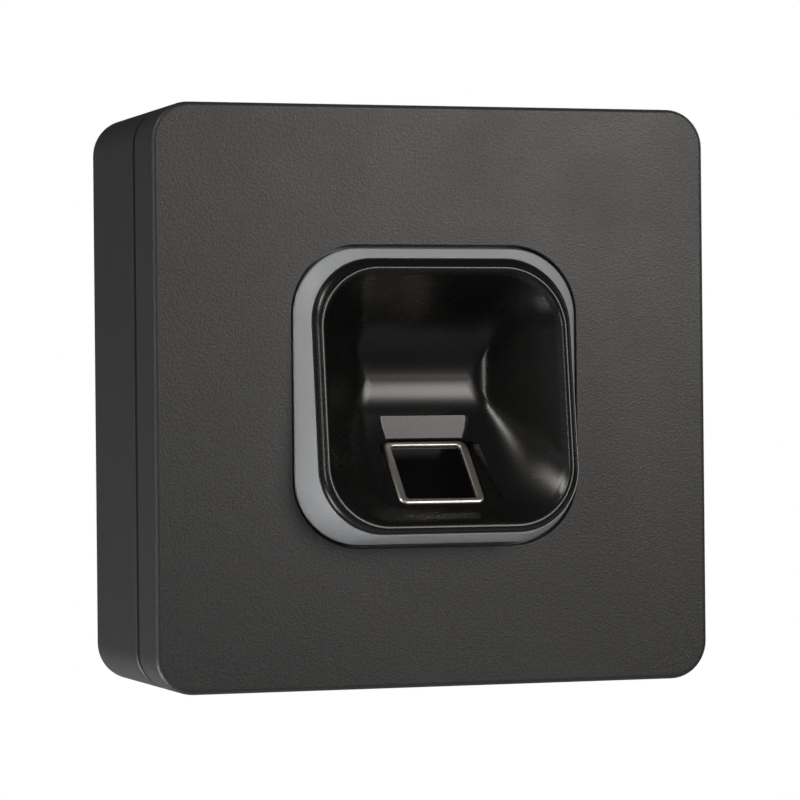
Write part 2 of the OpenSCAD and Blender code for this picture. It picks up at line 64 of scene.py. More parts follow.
# Housing: the box's rim stands back from its CAD rim, so that the seam in front of it shows
CORNER_R = 5.3
COVER_EDGE_R = 0.7
COVER_REAR_R = 0.5
BOX_EDGE_R = 1.2
CHAMFER = 0.15
SEAM_GAP = 0.6
WALL = 2.2
BACK_T = 2.5
COVER_BACK = BOX_DEPTH + SEAM_GAP
FACE_INSIDE = FACE_DEPTH - WALL
BOX_INSIDE = FACE_SIZE - 2 * WALL
INSIDE_R = CORNER_R - WALL
BOX_RIM = BOX_DEPTH - 0.5

# Cover: opening, cavity and the skirt that reaches into the box
OPENING_LIP = 0.12
CAVITY = BOX_INSIDE - 2.6
CAVITY_FILLET = 0.5
CAVITY_DRAFT = 0.4
SKIRT = BOX_INSIDE - 0.6
SKIRT_END = BOX_DEPTH - 1.4
SUNK = 0.4
CATCH_AT = (33.6, 17)
CATCH_SIZE = (1.4, 6)
CATCH_END = 17.4
CATCH_BEVEL = 0.12
MAGNET_X = -28.4
MAGNET_BOSS_R = 2.5
MAGNET_BOSS_LENGTH = 5
MAGNET_SEAT_R = 1.6
MAGNET_SEAT = (0.6, 6)

# Back box: a post is (radius, free end, chamfer), a hole is (radius, start, end)
POST_ROOT = 1.2
FRAME_POST_AT = 32.6
FRAME_POST = (3.6, 19, 0.2)
FRAME_HOLE = (1.3, 8, 20)
LINK_Z = -16.5
BOARD_POST_AT = (20.5, 7)
BOARD_POST = (2.6, 5, CHAMFER)
BOARD_HOLE = (0.9, 1.3, 6)
CLAMP_POST_AT = (8, 3)
CLAMP_POST = (2.4, 7.4, CHAMFER)
CLAMP_HOLE = (1, 3.4, 8)
SLOT_X = 30
SLOT = (8, 4.4, 2.19)
PAD = (13, 10.4)
PAD_TOP = 3.3
ENTRY_Z = 15.0
ENTRY_PROFILE = [(7.5, -1), (7.5, 1.2), (6, 1.2), (6, 4)]
DRAIN = (4, 6.4)
DRAIN_DEPTH = (BOX_DEPTH - 2, BOX_DEPTH - 1.4)
GROOVE_INSETS = (1.5, 3.5)
GROOVE_DEPTH = 0.8
BOX_FLOOR_FILLET = 0.6
CUT_THROUGH = 1

# Light ring and finger guide, seen from the front: width, height and corner radius
RING = (40.7, 40.5, 9.2)
RING_GAP = (0.3, 0.5)
RING_PROUD = 4.12
RING_EDGE = 0.2
RING_FLANGE = (45.6, 45.6, 4)
RING_FLANGE_STEP = 0.3
RING_FIT = 0.1
GUIDE = (37.2, 37.5, 9.0)
GUIDE_Z = 0.1
LIP = (35.2, 35.4, 8.5)
LIP_Z = -0.1
LIP_PROUD = 5.4
LIP_ROLL = 0.8
LIP_STEP = 0.07
LIP_BEAD = ((0.17, 0.13), (0.13, 0.05), (0.06, 0.01), (0.0, 0.0))
GUIDE_CREASE = (0.4, 0.4, 0.2)
GUIDE_SWEEP = 70
RIM_SLOPE = math.tan(math.radians(7.2))

# Walls of the bowl: distance in front of the face, distance from the centre, slope
BOWL_END = -7.2
BOWL_FLOOR = (-5.7, -2.7, 0.692)
BOWL_ROOF = (-5.7, 9.8, 1.22)
BOWL_SIDE = (-6.7, 9.4, 1.582)
BOWL_FRONT = (3.2, -15.55, 2.8)
BOWL_FILLETS = {"floor": 9.0, "roof": 12.0, "side": 3.2}
BOWL_BLEND = 2.4
BOWL_CORNER_R = 1
BOWL_DIAGONAL = (6.4, 20.63)
BOWL_LEAN_START = -4
BOWL_LEAN_TRAVEL = 9

SENSOR_LEAN = 45.0
SENSOR_Z = -10.45
SENSOR_SINK = 1.5
BEZEL = (12.5, 11.9)
BEZEL_R = 1.2
WINDOW = 10.1
WINDOW_R = 0.5
SENSOR_BACK = -1.0

# Wedge-shaped recess: heights, and the width of the facet at each height against the bezel's
FACET_PROUD = -5.7
FACET_TILT = 14
FACET_ROUND = 0.9
FACET_BESIDE = 0.4
FACET_SECTIONS = ((-20, 0), (-6.7, 0), (-6.3, -0.95), (4, 2.45))
RECESS_TOP = -1.5
RECESS_HALF = 15
RECESS_REACH = 14
RECESS_BACK = 0.1
RECESS_MOUTH = (6, -9)
RECESS_BROW = 1
RECESS_CLEAR = 0.3
POCKET_CLEAR = 0.3
POCKET_R = 1.35
POCKET = (-1.3, 0.6)


# ------------------------------------------------------------------ mesh helpers

def outline(w, h, r, corner=12, side=1, lower_r=None):
    """Rounded rectangle as (x, z) points, with `corner` steps round a corner and `side` along a side."""
    arcs = []
    for k, (sx, sz) in enumerate(((1, 1), (-1, 1), (-1, -1), (1, -1))):
        radius = lower_r if lower_r and sz < 0 else r
        centre = Vector((sx * (w / 2 - radius), sz * (h / 2 - radius)))
        angles = [(k + i / corner) * math.pi / 2 for i in range(corner + 1)]
        arcs.append([centre + Vector((math.cos(a), math.sin(a))) * radius for a in angles])
    points = []
    for arc, follow in zip(arcs, arcs[1:] + arcs[:1]):
        points += arc
        points += [arc[-1].lerp(follow[0], i / side) for i in range(1, side)]
    return points


def ring_at(points, depth):
    """Lifts (x, z) points to a depth, which is a number or a function of x and z."""
    place = depth if callable(depth) else lambda x, z: depth
    return [Vector((p[0], -place(p[0], p[1]), p[1])) for p in points]


def loft(bm, rings, closed=False, caps=True):
    """Adds a skin through rings of equal length; closed joins the last ring to the first."""
    rows = [[bm.verts.new(p * MM) for p in ring] for ring in rings]
    pairs = list(zip(rows, rows[1:])) + ([(rows[-1], rows[0])] if closed else [])
    count = len(rows[0])
    for a, b in pairs:
        for i in range(count):
            j = (i + 1) % count
            bm.faces.new((a[i], a[j], b[j], b[i]))
    if caps and not closed:
        bm.faces.new(rows[0])
        bm.faces.new(list(reversed(rows[-1])))
    return bm


def square_ring(size, r, depth):
    """Ring of a rounded square at one depth."""
    return ring_at(outline(size, size, r), depth)


def fillet(size, r, depth, radius, steps, turn=1):
    """Rings of a rounded square round its front edge, from the side to the face; turn=-1 is a rear edge."""
    rings = []
    for i in range(steps + 1):
        a = i / steps * math.pi / 2
        inset = radius * (1 - math.cos(a))
        d = depth - turn * radius * (1 - math.sin(a))
        rings.append(square_ring(size - 2 * inset, r - inset, d))
    return rings


def block(bm, x, z, w, h, d0, d1, bevel=0.0):
    """Adds a box with optional rounded edges, given by its centre in x and z and its two depths."""
    made = bmesh.ops.create_cube(bm, size=1.0)
    size = Matrix.Diagonal((w * MM, (d1 - d0) * MM, h * MM, 1))
    place = Matrix.Translation(Vector((x, -(d0 + d1) / 2, z)) * MM)
    bmesh.ops.transform(bm, matrix=place @ size, verts=made["verts"])
    if bevel:
        edges = list({e for v in made["verts"] for e in v.link_edges})
        bmesh.ops.bevel(bm, geom=edges, offset=bevel * MM, segments=2, profile=0.5, affect="EDGES")
    return bm


def turned(bm, x, z, profile, steps=48):
    """Adds a solid of revolution about a line along the depth; profile is (radius, depth) points."""
    rings = []
    for radius, depth in profile:
        turns = [2 * math.pi * i / steps for i in range(steps)]
        circle = [(x + radius * math.cos(a), z + radius * math.sin(a)) for a in turns]
        rings.append(ring_at(circle, depth))
    return loft(bm, rings)


def rod(bm, x, z, radius, start, end):
    return turned(bm, x, z, [(radius, start), (radius, end)])


def post(bm, x, z, radius, end, chamfer, start=POST_ROOT):
    """Adds a round post with a chamfer at its free end."""
    step = math.copysign(chamfer, end - start)
    return turned(bm, x, z, [(radius, start), (radius, end - step), (radius - chamfer, end)])


def to_object(bm, name):
    bmesh.ops.recalc_face_normals(bm, faces=bm.faces)
    mesh = bpy.data.meshes.new(name)
    bm.to_mesh(mesh)
    bm.free()
    obj = bpy.data.objects.new(name, mesh)
    bpy.context.scene.collection.objects.link(obj)
    return obj


def combine(obj, tool, operation):
    """Boolean of a piece with a closed tool, applied to the piece's mesh; the tool is used up."""
    step = obj.modifiers.new("combine", "BOOLEAN")
    step.object = tool
    step.operation = operation
    step.solver = "EXACT"
    deps = bpy.context.evaluated_depsgraph_get()
    made = bpy.data.meshes.new_from_object(obj.evaluated_get(deps))
    obj.modifiers.clear()
    obj.data = made
    bpy.data.objects.remove(tool)
    return obj


def finish_piece(obj, body, material, node, angle=32):
    """Shades a piece, gives it its material, ties it to its body, and hides the CAD node it stands for."""
    mesh = obj.data
    mesh.polygons.foreach_set("use_smooth", [True] * len(mesh.polygons))
    mesh.set_sharp_from_angle(angle=math.radians(angle))
    mesh.materials.clear()
    mesh.materials.append(material)
    step = obj.modifiers.new("normals", "WEIGHTED_NORMAL")
    step.mode = "FACE_AREA"
    step.keep_sharp = True
    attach(obj, body)
    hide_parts(node)


# ------------------------------------------------------------------ materials

def shader(name, color, roughness, metallic=0.0, specular=0.5):
    mat = bpy.data.materials.new(name)
    mat.use_nodes = True
    bsdf = mat.node_tree.nodes["Principled BSDF"]
    bsdf.inputs["Base Color"].default_value = (*color, 1)
    bsdf.inputs["Roughness"].default_value = roughness
    bsdf.inputs["Metallic"].default_value = metallic
    bsdf.inputs["Specular IOR Level"].default_value = specular
    return mat, mat.node_tree, bsdf


def texture(tree, kind, scale, stretch=None, **settings):
    """A procedural texture on object coordinates; scale is in features per metre."""
    coords = tree.nodes.new("ShaderNodeTexCoord")
    node = tree.nodes.new(kind)
    for key, value in settings.items():
        node.inputs[key].default_value = value
    node.inputs["Scale"].default_value = scale
    source = coords.outputs["Object"]
    if stretch:
        mapping = tree.nodes.new("ShaderNodeMapping")
        mapping.inputs["Scale"].default_value = stretch
        tree.links.new(source, mapping.inputs["Vector"])
        source = mapping.outputs["Vector"]
    tree.links.new(source, node.inputs["Vector"])
    return node


def bump(tree, bsdf, height, strength, distance):
    node = tree.nodes.new("ShaderNodeBump")
    node.inputs["Strength"].default_value = strength
    node.inputs["Distance"].default_value = distance
    tree.links.new(height, node.inputs["Height"])
    tree.links.new(node.outputs["Normal"], bsdf.inputs["Normal"])


def spread(tree, value, low, high, target, clip=(0.3, 0.7)):
    """Maps a texture value to a range of numbers on a shader socket."""
    node = tree.nodes.new("ShaderNodeMapRange")
    node.inputs["From Min"].default_value = clip[0]
    node.inputs["From Max"].default_value = clip[1]
    node.inputs["To Min"].default_value = low
    node.inputs["To Max"].default_value = high
    tree.links.new(value, node.inputs["Value"])
    tree.links.new(node.outputs["Result"], target)


def tint(tree, value, dark, light, target, clip=(0.35, 0.65)):
    """Maps a texture value to a colour between two."""
    node = tree.nodes.new("ShaderNodeValToRGB")
    node.color_ramp.elements[0].position = clip[0]
    node.color_ramp.elements[1].position = clip[1]
    node.color_ramp.elements[0].color = (*dark, 1)
    node.color_ramp.elements[1].color = (*light, 1)
    tree.links.new(value, node.inputs["Fac"])
    tree.links.new(node.outputs["Color"], target)


def moulded(name, color, roughness, grain=3300, relief=0.00003, speckle=0.12, specular=0.5):
    """Matt moulded plastic with a fine spark-eroded grain."""
    mat, tree, bsdf = shader(name, color, roughness, specular=specular)
    fine = texture(tree, "ShaderNodeTexNoise", grain, Detail=3.0, Roughness=0.6)
    dark = [c * (1 - speckle) for c in color]
    light = [c * (1 + speckle) for c in color]
    tint(tree, fine.outputs["Fac"], dark, light, bsdf.inputs["Base Color"])
    cloud = texture(tree, "ShaderNodeTexNoise", 90, Detail=4.0)
    spread(tree, cloud.outputs["Fac"], roughness - 0.03, roughness + 0.03, bsdf.inputs["Roughness"])
    bump(tree, bsdf, fine.outputs["Fac"], 0.6, relief)
    return mat


def gloss(name, color, roughness=0.06, haze=0.04, specular=0.5):
    """Polished moulded plastic with a faint ripple and fine wiping marks."""
    mat, tree, bsdf = shader(name, color, roughness, specular=specular)
    ripple = texture(tree, "ShaderNodeTexNoise", 140, Detail=2.0)
    marks = texture(tree, "ShaderNodeTexNoise", 900, stretch=(1, 1, 6), Detail=5.0)
    spread(tree, marks.outputs["Fac"], roughness, roughness + haze, bsdf.inputs["Roughness"])
    bump(tree, bsdf, ripple.outputs["Fac"], 0.25, 0.00002)
    return mat


def metal(name, color, roughness, stretch=(1, 1, 40), lines=2500):
    """Metal with fine directional brushing."""
    mat, tree, bsdf = shader(name, color, roughness, metallic=1.0)
    brush = texture(tree, "ShaderNodeTexNoise", lines, stretch=stretch, Detail=4.0)
    spread(tree, brush.outputs["Fac"], roughness - 0.06, roughness + 0.1, bsdf.inputs["Roughness"])
    bump(tree, bsdf, brush.outputs["Fac"], 0.5, 0.000004)
    return mat


def diffuser(name):
    """Frosted translucent plastic of the light ring."""
    color = (0.45, 0.47, 0.49)
    mat, tree, bsdf = shader(name, color, 0.42)
    bsdf.inputs["Subsurface Weight"].default_value = 0.6
    bsdf.inputs["Subsurface Radius"].default_value = (1.0, 1.0, 1.1)
    bsdf.inputs["Subsurface Scale"].default_value = 0.0008
    frost = texture(tree, "ShaderNodeTexNoise", 5200, Detail=2.0)
    bump(tree, bsdf, frost.outputs["Fac"], 0.35, 0.000012)
    tint(tree, frost.outputs["Fac"], (0.435, 0.455, 0.475), (0.465, 0.485, 0.505), bsdf.inputs["Base Color"])
    return mat


COVER = moulded("cover_plastic", (0.037, 0.037, 0.0373), 0.42, relief=0.00008, speckle=0.25)
BOX = moulded("box_plastic", (0.036, 0.0355, 0.035), 0.42, grain=2600, relief=0.00003, speckle=0.08)
BOWL_GLOSS = gloss("guide_gloss", (0.006, 0.0058, 0.0055), roughness=0.27, haze=0.015)
DIFFUSER = diffuser("ring_diffuser")
STEEL = metal("bezel_steel", (0.80, 0.76, 0.70), 0.38)
GLASS = gloss("sensor_black", (0.003, 0.003, 0.0032), roughness=0.03, haze=0.02, specular=0.3)
RUBBER = moulded("seal_rubber", (0.012, 0.012, 0.012), 0.75, grain=1500, relief=0.00004, speckle=0.1,
                 specular=0.08)
FRAME_PLASTIC = moulded("frame_plastic", (0.035, 0.036, 0.038), 0.5)
HOUSING = moulded("housing_black", (0.018, 0.018, 0.02), 0.48)
SCREW = metal("screw_steel", (0.66, 0.66, 0.63), 0.3, stretch=(1, 1, 1), lines=1800)
SPRING = metal("spring_steel", (0.6, 0.61, 0.63), 0.26)
BRASS = metal("contact_brass", (0.62, 0.44, 0.17), 0.3)
BOARD = gloss("board_green", (0.008, 0.075, 0.034), roughness=0.25)
BOARD_WHITE = gloss("board_white", (0.7, 0.73, 0.71), roughness=0.3)
CHIP = moulded("chip_black", (0.014, 0.014, 0.015), 0.6, speckle=0.2)
CONNECTOR = moulded("connector_black", (0.008, 0.008, 0.009), 0.45)
CREAM = moulded("connector_cream", (0.74, 0.68, 0.54), 0.5, speckle=0.03)
CAN = metal("capacitor_can", (0.55, 0.57, 0.6), 0.25)
AMBER = gloss("flex_amber", (0.42, 0.15, 0.02), roughness=0.3)
PHOSPHOR = gloss("led_phosphor", (0.8, 0.72, 0.2), roughness=0.35)
TERMINAL = moulded("terminal_grey", (0.075, 0.08, 0.09), 0.48)
ORANGE = moulded("terminal_orange", (0.6, 0.12, 0.015), 0.45, speckle=0.05)
NICKEL = metal("magnet_nickel", (0.6, 0.59, 0.56), 0.18, stretch=(1, 1, 1))


# ------------------------------------------------------------------ camera

VIEW_AZIMUTH = math.radians(-18.218)
VIEW_ELEVATION = math.radians(-0.103)
VIEW_ROLL = math.radians(-0.554)
VIEW_TARGET = Vector((1.577, -13.0, -0.455)) * MM
VIEW_DISTANCE = 0.52109
LENS_MM = 163.94


def direction(azimuth, elevation):
    """Unit vector from the reader towards a place that is seen in front of it at these angles."""
    return Vector((math.sin(azimuth) * math.cos(elevation), -math.cos(azimuth) * math.cos(elevation),
                   math.sin(elevation)))


def make_camera():
    back = direction(VIEW_AZIMUTH, VIEW_ELEVATION)
    right = (-back).cross(Vector((0, 0, 1))).normalized()
    up = right.cross(-back)
    turned_right = right * math.cos(VIEW_ROLL) + up * math.sin(VIEW_ROLL)
    turned_up = up * math.cos(VIEW_ROLL) - right * math.sin(VIEW_ROLL)
    data = bpy.data.cameras.new("camera")
    data.sensor_width = 36
    data.lens = LENS_MM
    cam = bpy.data.objects.new("camera", data)
    bpy.context.scene.collection.objects.link(cam)
    rotation = Matrix((turned_right, turned_up, back)).transposed().to_4x4()
    cam.matrix_world = Matrix.Translation(VIEW_TARGET + back * VIEW_DISTANCE) @ rotation
    data.clip_start = 0.01
    bpy.context.scene.camera = cam


make_camera()


# ------------------------------------------------------------------ front cover

def cover_piece():
    """Shell with a rounded opening, a skirt, four catches and the boss that holds the magnet."""
    opening = (RING[0] + 2 * RING_GAP[0], RING[1] + 2 * RING_GAP[1], RING[2] + RING_GAP[0])
    rings = list(reversed(fillet(FACE_SIZE, CORNER_R, COVER_BACK, COVER_REAR_R, 4, turn=-1)))
    rings += fillet(FACE_SIZE, CORNER_R, FACE_DEPTH, COVER_EDGE_R, 7)
    for i in range(4):
        a = i / 3 * math.pi / 2
        grow = OPENING_LIP * (1 - math.sin(a))
        edge = outline(opening[0] + 2 * grow, opening[1] + 2 * grow, opening[2] + grow)
        rings.append(ring_at(edge, FACE_DEPTH - OPENING_LIP * (1 - math.cos(a))))
    rings.append(ring_at(outline(*opening), FACE_INSIDE))
    rings.append(square_ring(CAVITY - 2 * CAVITY_FILLET, INSIDE_R - CAVITY_FILLET, FACE_INSIDE))
    rings.append(square_ring(CAVITY, INSIDE_R, FACE_INSIDE - CAVITY_FILLET))
    rings.append(square_ring(CAVITY + CAVITY_DRAFT, INSIDE_R, SKIRT_END))
    rings.append(square_ring(SKIRT - 2 * CHAMFER, INSIDE_R, SKIRT_END))
    rings.append(square_ring(SKIRT, INSIDE_R, SKIRT_END + CHAMFER))
    rings.append(square_ring(SKIRT, INSIDE_R, COVER_BACK))
    shell = bmesh.new()
    loft(shell, rings, closed=True)
    cover = to_object(shell, "front_cover_shell")
    catches = bmesh.new()
    for sx in (-1, 1):
        for sz in (-1, 1):
            block(catches, sx * CATCH_AT[0], sz * CATCH_AT[1], *CATCH_SIZE, CATCH_END, FACE_INSIDE + SUNK,
                  CATCH_BEVEL)
    post(catches, MAGNET_X, 0, MAGNET_BOSS_R, FACE_INSIDE - MAGNET_BOSS_LENGTH, CHAMFER, FACE_INSIDE + SUNK)
    combine(cover, to_object(catches, "catches"), "UNION")
    seat = bmesh.new()
    rod(seat, MAGNET_X, 0, MAGNET_SEAT_R, FACE_INSIDE - MAGNET_SEAT[0], FACE_INSIDE - MAGNET_SEAT[1])
    return combine(cover, to_object(seat, "seat"), "DIFFERENCE")


finish_piece(cover_piece(), "cover", COVER, "front_cover")


# Section of the seal: distance in from the housing's side, and depth
SEAL_SECTION = ((0.3, BOX_RIM - 0.6), (0.2, BOX_RIM - 0.5), (0.2, COVER_BACK - 0.1), (0.3, COVER_BACK),
                (1.7, COVER_BACK), (1.7, BOX_RIM + 0.02), (0.9, BOX_RIM + 0.02))


def inset_rings(section):
    """Rings that follow the housing's outline at each distance in from its side."""
    return [square_ring(FACE_SIZE - 2 * inset, CORNER_R - inset, depth) for inset, depth in section]


def cover_seal_piece():
    """Rubber seal behind the cover's edge, the dark line between the cover and the back box."""
    bm = bmesh.new()
    loft(bm, inset_rings(SEAL_SECTION), closed=True)
    return to_object(bm, "cover_seal_ring")


finish_piece(cover_seal_piece(), "cover", RUBBER, "cover_seal")


# ------------------------------------------------------------------ back box

def box_shell():
    rings = [square_ring(BOX_INSIDE - 2 * BOX_FLOOR_FILLET, INSIDE_R - BOX_FLOOR_FILLET, BACK_T)]
    rings.append(square_ring(BOX_INSIDE, INSIDE_R, BACK_T + BOX_FLOOR_FILLET))
    rings.append(square_ring(BOX_INSIDE, INSIDE_R, BOX_RIM - CHAMFER))
    rings.append(square_ring(BOX_INSIDE + 2 * CHAMFER, INSIDE_R + CHAMFER, BOX_RIM))
    rings += list(reversed(fillet(FACE_SIZE, CORNER_R, BOX_RIM, BOX_EDGE_R, 8)))
    rings.append(square_ring(FACE_SIZE, CORNER_R, CHAMFER))
    rings.append(square_ring(FACE_SIZE - 2 * CHAMFER, CORNER_R - CHAMFER, 0))
    bm = bmesh.new()
    loft(bm, rings)
    return to_object(bm, "back_box_shell")


def box_posts():
    """Posts for the frame, the board and the cable clamp, and the pads round the wall slots."""
    posts = bmesh.new()
    for sx in (-1, 1):
        for sz in (-1, 1):
            post(posts, sx * FRAME_POST_AT, sz * FRAME_POST_AT, *FRAME_POST)
            post(posts, sx * BOARD_POST_AT[0], LINK_Z + sz * BOARD_POST_AT[1], *BOARD_POST)
        post(posts, sx * CLAMP_POST_AT[0], CLAMP_POST_AT[1], *CLAMP_POST)
        block(posts, sx * SLOT_X, 0, *PAD, POST_ROOT, PAD_TOP, 0.2)
    return to_object(posts, "posts")


def box_cuts():
    """Screw holes, wall slots, the stepped cable entry and the drain slot."""
    cuts = bmesh.new()
    for sx in (-1, 1):
        for sz in (-1, 1):
            rod(cuts, sx * FRAME_POST_AT, sz * FRAME_POST_AT, *FRAME_HOLE)
            rod(cuts, sx * BOARD_POST_AT[0], LINK_Z + sz * BOARD_POST_AT[1], *BOARD_HOLE)
        rod(cuts, sx * CLAMP_POST_AT[0], CLAMP_POST_AT[1], *CLAMP_HOLE)
        slot = [Vector((p.x + sx * SLOT_X, p.y)) for p in outline(*SLOT)]
        loft(cuts, [ring_at(slot, d) for d in (-CUT_THROUGH, 4)])
    turned(cuts, 0, ENTRY_Z, ENTRY_PROFILE)
    block(cuts, 0, -FACE_SIZE / 2, *DRAIN, *DRAIN_DEPTH)
    return to_object(cuts, "cuts")


def box_groove():
    """Groove in the back face that holds the wall gasket."""
    outer, inner = GROOVE_INSETS
    section = ((outer, -CUT_THROUGH), (outer, GROOVE_DEPTH), (inner, GROOVE_DEPTH), (inner, -CUT_THROUGH))
    groove = bmesh.new()
    loft(groove, inset_rings(section), closed=True)
    return to_object(groove, "groove")


def back_box_piece():
    box = box_shell()
    combine(box, box_posts(), "UNION")
    combine(box, box_cuts(), "DIFFERENCE")
    return combine(box, box_groove(), "DIFFERENCE")


finish_piece(back_box_piece(), "wall_unit", BOX, "back_box")


# ------------------------------------------------------------------ light ring

def rim_ring(w, h, r, z, proud, corner=16, side=6):
    """Rounded rectangle in a plane that leans forward with the rim, centred at height z."""
    points = [Vector((p.x, p.y + z)) for p in outline(w, h, r, corner, side)]
    return ring_at(points, lambda x, z: FACE_DEPTH + proud - RIM_SLOPE * z)


def light_ring_piece():
    """Frosted ring: a flange behind the cover, and a flank that leans in from the face to the rim."""
    flange_front = FACE_INSIDE - RING_FLANGE_STEP
    flange = outline(*RING_FLANGE, 16, 6)
    foot = outline(*RING, 16, 6)
    bore = (GUIDE[0] + RING_FIT, GUIDE[1] + RING_FIT, GUIDE[2])
    rings = [ring_at(flange, FLANGE_BACK), ring_at(flange, flange_front), ring_at(foot, flange_front)]
    steps = 8
    top = outline(bore[0] + 2 * RING_EDGE, bore[1] + 2 * RING_EDGE, bore[2] + RING_EDGE, 16, 6)
    top = [Vector((p.x, p.y + GUIDE_Z)) for p in top]
    high = [FACE_DEPTH + RING_PROUD - RING_EDGE - RIM_SLOPE * p.y for p in top]
    for i in range(steps + 1):
        t = i / steps
        ring = []
        for a, b, h in zip(foot, top, high):
            depth = FACE_DEPTH + (h - FACE_DEPTH) * t
            ring.append(Vector((a.x + (b.x - a.x) * t, -depth, a.y + (b.y - a.y) * t)))
        rings.append(ring)
    for i in range(1, 4):
        a = i / 3 * math.pi / 2
        left = RING_EDGE - RING_EDGE * (1 - math.cos(a))
        rings.append(rim_ring(bore[0] + 2 * left, bore[1] + 2 * left, bore[2] + left, GUIDE_Z,
                              RING_PROUD - RING_EDGE * (1 - math.sin(a))))
    rings.append(rim_ring(*bore, GUIDE_Z, RING_PROUD - 0.6))
    rings.append([Vector((p.x, -FLANGE_BACK, p.y + GUIDE_Z)) for p in outline(*bore, 16, 6)])
    bm = bmesh.new()
    loft(bm, rings, closed=True)
    return to_object(bm, "light_ring_body")


finish_piece(light_ring_piece(), "reader_module", DIFFUSER, "light_ring", angle=50)


# ------------------------------------------------------------------ finger guide

def smooth_max(a, b, k):
    """The larger of two numbers, with a soft change within k of where they meet."""
    h = max(k - abs(a - b), 0.0) / k
    return max(a, b) + h * h * h * k / 6


def fillet_foot(height, slope, radius):
    """How far a wall stands out from its corner with the end wall, at a height over that wall."""
    angle = math.atan(slope)
    if height >= radius * (1 - math.cos(angle)):
        return height / slope
    return math.sqrt(radius ** 2 - (radius - height) ** 2) - radius * math.tan(angle / 2)


def wall_at(wall, proud, radius):
    """Distance from the centre of one of the bowl's walls, with its fillet to the end wall."""
    start, distance, slope = wall
    sign = 1 if distance > 0 else -1
    corner = abs(distance) - (start - BOWL_END) / slope
    return sign * (corner + fillet_foot(max(proud - BOWL_END, 0), slope, radius))


def floor_at(proud):
    """Height of the bowl's floor: the back floor with its fillet, blended into the steeper front one."""
    start, distance, slope = BOWL_FRONT
    back = wall_at(BOWL_FLOOR, proud, BOWL_FILLETS["floor"])
    return smooth_max(back, distance - (proud - start) / slope, BOWL_BLEND)


ROLL_ANGLE = math.atan(BOWL_SIDE[2])
ROLL_INSET = LIP_ROLL * math.sin(ROLL_ANGLE)
ROLL_TOP = LIP_PROUD - LIP_ROLL * (1 - math.cos(ROLL_ANGLE)) - BOWL_END


def bowl_ring(proud, corner, side):
    """Section of the bowl; its plane turns from upright at the end wall to the lean of the rim."""
    t = min(max((proud - BOWL_LEAN_START) / BOWL_LEAN_TRAVEL, 0), 1)
    lean = RIM_SLOPE * t * t * (3 - 2 * t)
    low, high = -5.0, 5.0
    for _ in range(12):
        low = floor_at(proud - lean * low)
        high = wall_at(BOWL_ROOF, proud - lean * high, BOWL_FILLETS["roof"])
    half = wall_at(BOWL_SIDE, proud, BOWL_FILLETS["side"])
    t = (proud - BOWL_END) / ROLL_TOP
    radius = BOWL_CORNER_R + (LIP[2] - ROLL_INSET - BOWL_CORNER_R) * t ** 0.85
    radius = min(radius, (high - low) * 0.45)
    diagonal = BOWL_DIAGONAL[0] + (BOWL_DIAGONAL[1] - BOWL_DIAGONAL[0]) * t
    lower = ((half - low) * math.sqrt(0.5) - diagonal) / (math.sqrt(2) - 1)
    lower = min(max(lower, radius), half, high - low - radius)
    middle = (low + high) / 2
    points = outline(2 * half, high - low, radius, corner, side, lower_r=lower)
    points = [Vector((p.x, p.y + middle)) for p in points]
    return ring_at(points, lambda x, z: FACE_DEPTH + proud - lean * z)


def finger_guide_piece():
    """Closed shell: outer wall, rounded flank, crest of the rim, and the bowl down to its end wall."""
    corner, side = 20, 8
    rings = [[Vector((p.x, -GUIDE_BACK, p.y + GUIDE_Z)) for p in outline(*GUIDE, corner, side)]]
    rings.append(rim_ring(*GUIDE, GUIDE_Z, RING_PROUD - 0.5, corner, side))
    crease = [size + extra for size, extra in zip(LIP, GUIDE_CREASE)]
    sweep = math.radians(GUIDE_SWEEP)
    for i in range(8):
        a = i / 7 * sweep
        t = (1 - math.cos(a)) / (1 - math.cos(sweep))
        rise = (LIP_PROUD - LIP_STEP - RING_PROUD) * math.sin(a) / math.sin(sweep)
        w, h, r = (g + (c - g) * t for g, c in zip(GUIDE, crease))
        rings.append(rim_ring(w, h, r, GUIDE_Z + (LIP_Z - GUIDE_Z) * t, RING_PROUD + rise, corner, side))
    for grow, drop in LIP_BEAD:
        rings.append(rim_ring(LIP[0] + 2 * grow, LIP[1] + 2 * grow, LIP[2] + grow, LIP_Z, LIP_PROUD - drop,
                              corner, side))
    for i in range(1, 9):
        a = i / 8 * ROLL_ANGLE
        inset = LIP_ROLL * math.sin(a)
        rings.append(rim_ring(LIP[0] - 2 * inset, LIP[1] - 2 * inset, LIP[2] - inset, LIP_Z,
                              LIP_PROUD - LIP_ROLL * (1 - math.cos(a)), corner, side))
    steps = 72
    for i in range(1, steps + 1):
        rings.append(bowl_ring(BOWL_END + ROLL_TOP * (1 - i / steps) ** 2, corner, side))
    bm = bmesh.new()
    loft(bm, rings)
    return to_object(bm, "finger_guide_body")


def on_sensor(points, height):
    """Lifts points that lie across (x) and along (y) the sensor to a height over its surface."""
    place = (Matrix.Translation(Vector((0, SENSOR_SINK - FACE_DEPTH, SENSOR_Z)))
             @ Matrix.Rotation(math.radians(SENSOR_LEAN), 4, "X"))
    return [place @ Vector((p[0], p[1], height)) for p in points]


